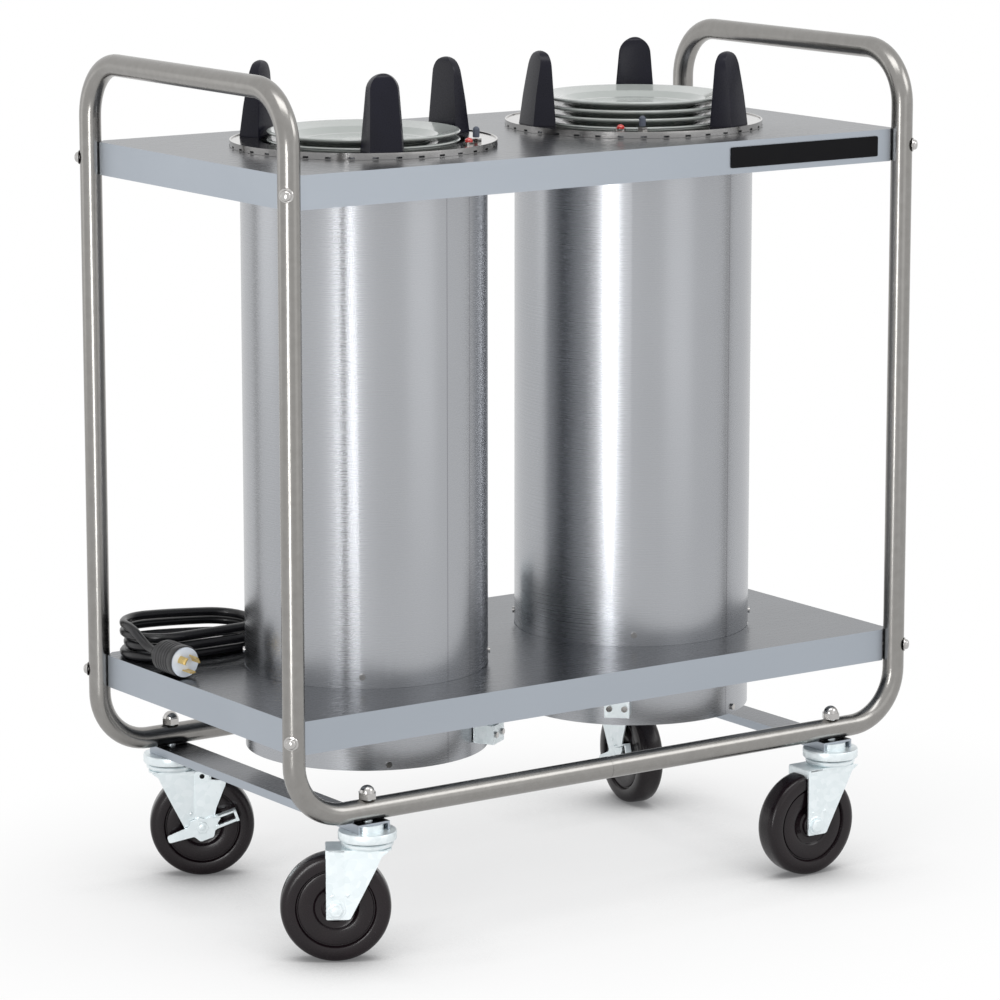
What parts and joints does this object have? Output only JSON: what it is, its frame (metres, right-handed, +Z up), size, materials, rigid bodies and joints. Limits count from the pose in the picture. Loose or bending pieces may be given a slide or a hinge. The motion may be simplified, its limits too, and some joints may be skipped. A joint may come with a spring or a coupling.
{
  "type": "plate dispenser cart",
  "caption": "Open tube-frame cart on swivel casters whose decks hold sprung, heated round silos that raise stacks of plates to hand height.",
  "frame": {"origin": "on the floor under the middle of the cart", "axes": "+Z up, +X along the cart to the right seen from the front, -Y to the front, where the blank plate is"},
  "size_m": [0.89, 0.495, 0.9947],
  "materials": {
    "satin_tube": "satin stainless tube, lightly brushed along its length",
    "deck_sheet": "brushed stainless sheet",
    "silo_sheet": "brushed stainless sheet, satin",
    "flange_metal": "polished stainless",
    "guide_plastic": "moulded blue-black plastic, fine texture",
    "plate_glaze": "off-white gloss glaze",
    "zinc": "bright zinc plate",
    "fastener": "polished stainless",
    "wheel_rubber": "hard black rubber with a maroon tinge",
    "cord_rubber": "black rubber jacket, slightly glossy",
    "plug_shell": "black moulded grip",
    "plug_face": "white nylon",
    "blade_brass": "bright brass",
    "lens_red": "clear red lens",
    "boot_slate": "slate rubber boot",
    "blank_plate": "plain black, no lettering",
    "hidden_metal": "mill finish",
    "heater_steel": "dark heat-stained sheath",
    "spring_steel": "bright spring wire"
  },
  "bodies": {
    "cart": {"left_frame_tube": "satin_tube", "right_frame_tube": "satin_tube", "rail_couplers": "hidden_metal", "upper_deck": "deck_sheet", "lower_deck": "deck_sheet", "deck_bolts": "fastener", "deck_nuts": "fastener", "left_cross_brace": "deck_sheet", "right_cross_brace": "deck_sheet", "caster_acorn_nuts": "fastener", "caster_stems": "zinc", "left_silo_tube": "silo_sheet", "right_silo_tube": "silo_sheet", "left_silo_base": "silo_sheet", "right_silo_base": "silo_sheet", "left_flange": "flange_metal", "right_flange": "flange_metal", "left_plate_guides": "guide_plastic", "right_plate_guides": "guide_plastic", "silo_screws": "fastener", "left_heater": "heater_steel", "right_heater": "heater_steel", "left_springs": "spring_steel", "right_springs": "spring_steel", "pilot_bezels": "fastener", "pilot_lenses": "lens_red", "switch_nuts": "fastener", "cable_connectors": "zinc", "connector_screws": "fastener", "supply_leads": "cord_rubber", "junction_box": "zinc", "junction_box_cover": "zinc", "cord_strain_relief": "plug_shell", "cord_lead": "cord_rubber", "cord_coil": "cord_rubber", "cord_tail": "cord_rubber", "plug_body": "plug_shell", "plug_face": "plug_face", "plug_blades": "blade_brass", "name_plate": "blank_plate"},
    "left_carrier": {"left_carrier": "hidden_metal", "left_plates": "plate_glaze"},
    "right_carrier": {"right_carrier": "hidden_metal", "right_plates": "plate_glaze"},
    "left_switch": {"left_switch_lever": "boot_slate"},
    "right_switch": {"right_switch_lever": "boot_slate"},
    "front_left_caster": {"front_left_fork": "zinc", "front_left_axle": "fastener"},
    "front_left_wheel": {"front_left_wheel": "wheel_rubber"},
    "front_right_caster": {"front_right_fork": "zinc", "front_right_axle": "fastener"},
    "front_right_wheel": {"front_right_wheel": "wheel_rubber"},
    "rear_left_caster": {"rear_left_fork": "zinc", "rear_left_axle": "fastener"},
    "rear_left_wheel": {"rear_left_wheel": "wheel_rubber"},
    "rear_right_caster": {"rear_right_fork": "zinc", "rear_right_axle": "fastener"},
    "rear_right_wheel": {"rear_right_wheel": "wheel_rubber"},
    "rear_left_brake": {"rear_left_brake": "zinc"},
    "rear_right_brake": {"rear_right_brake": "zinc"}
  },
  "joints": [
    {"name": "left_carrier_slide", "type": "slide", "parent": "cart", "child": "left_carrier", "axis": [0, 0, 1], "range_m": [-0.42, 0], "stiffness_N_per_m": 560, "springref_m": 0.17, "deforming": ["left_springs"]},
    {"name": "right_carrier_slide", "type": "slide", "parent": "cart", "child": "right_carrier", "axis": [0, 0, 1], "range_m": [-0.42, 0], "stiffness_N_per_m": 560, "springref_m": 0.17, "deforming": ["right_springs"]},
    {"name": "left_switch_tilt", "type": "hinge", "parent": "cart", "child": "left_switch", "pos_m": [-0.10334, -0.09847, 0.9021], "axis": [0.6691, -0.7431, 0], "range_deg": [-12, 12]},
    {"name": "right_switch_tilt", "type": "hinge", "parent": "cart", "child": "right_switch", "pos_m": [0.12179, -0.11237, 0.9021], "axis": [-0.5299, -0.848, 0], "range_deg": [-12, 12]},
    {"name": "front_left_swivel", "type": "hinge", "parent": "cart", "child": "front_left_caster", "pos_m": [-0.332, -0.215, 0.132], "axis": [0, 0, 1], "continuous": true},
    {"name": "front_right_swivel", "type": "hinge", "parent": "cart", "child": "front_right_caster", "pos_m": [0.332, -0.215, 0.132], "axis": [0, 0, 1], "continuous": true},
    {"name": "rear_left_swivel", "type": "hinge", "parent": "cart", "child": "rear_left_caster", "pos_m": [-0.332, 0.215, 0.132], "axis": [0, 0, 1], "continuous": true},
    {"name": "rear_right_swivel", "type": "hinge", "parent": "cart", "child": "rear_right_caster", "pos_m": [0.332, 0.215, 0.132], "axis": [0, 0, 1], "continuous": true},
    {"name": "front_left_roll", "type": "hinge", "parent": "front_left_caster", "child": "front_left_wheel", "pos_m": [-0.36253, -0.19592, 0.0625], "axis": [-0.5299, -0.848, 0], "continuous": true},
    {"name": "front_right_roll", "type": "hinge", "parent": "front_right_caster", "child": "front_right_wheel", "pos_m": [0.29601, -0.21437, 0.0625], "axis": [-0.0175, -0.9998, 0], "continuous": true},
    {"name": "rear_left_roll", "type": "hinge", "parent": "rear_left_caster", "child": "rear_left_wheel", "pos_m": [-0.30082, 0.197, 0.0625], "axis": [0.5, 0.866, 0], "continuous": true},
    {"name": "rear_right_roll", "type": "hinge", "parent": "rear_right_caster", "child": "rear_right_wheel", "pos_m": [0.32637, 0.17944, 0.0625], "axis": [0.9877, -0.1564, 0], "continuous": true},
    {"name": "rear_left_brake_press", "type": "hinge", "parent": "rear_left_caster", "child": "rear_left_brake", "pos_m": [-0.30082, 0.197, 0.0625], "axis": [0.5, 0.866, 0], "range_deg": [0, 30]},
    {"name": "rear_right_brake_press", "type": "hinge", "parent": "rear_right_caster", "child": "rear_right_brake", "pos_m": [0.32637, 0.17944, 0.0625], "axis": [0.9877, -0.1564, 0], "range_deg": [0, 30]}
  ]
}
